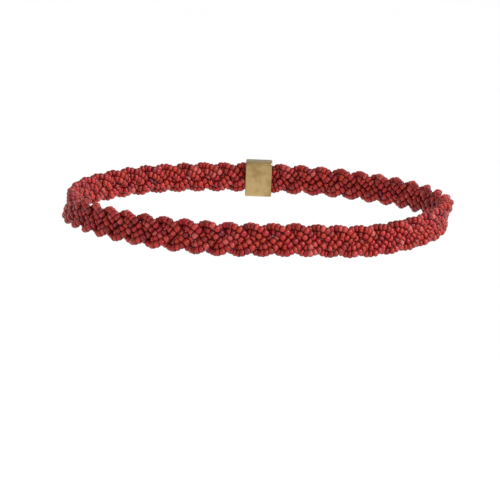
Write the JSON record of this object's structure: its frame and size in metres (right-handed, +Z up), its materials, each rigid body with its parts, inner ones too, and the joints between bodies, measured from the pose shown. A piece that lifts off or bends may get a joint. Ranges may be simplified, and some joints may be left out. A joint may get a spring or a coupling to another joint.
{
  "type": "braided bead belt",
  "caption": "Narrow flat belt plaited from strings of small beads, kept in its worn oval loop, its ends held in a plain box clasp at the back.",
  "frame": {"origin": "middle of the waist opening, at half the height of the plait", "axes": "+Z is up as the belt is worn, the front of the belt faces -Y, +X is to the right of a viewer in front of it, and the clasp is at +Y"},
  "size_m": [0.2498, 0.1862, 0.024],
  "materials": {
    "beads": "opaque coral-red glass seed beads with a satin gloss",
    "clasp_metal": "satin brass"
  },
  "bodies": {
    "root": {"string_1a": "beads", "string_1b": "beads", "string_2a": "beads", "string_2b": "beads", "string_3a": "beads", "string_3b": "beads", "clasp": "clasp_metal"}
  },
  "joints": []
}
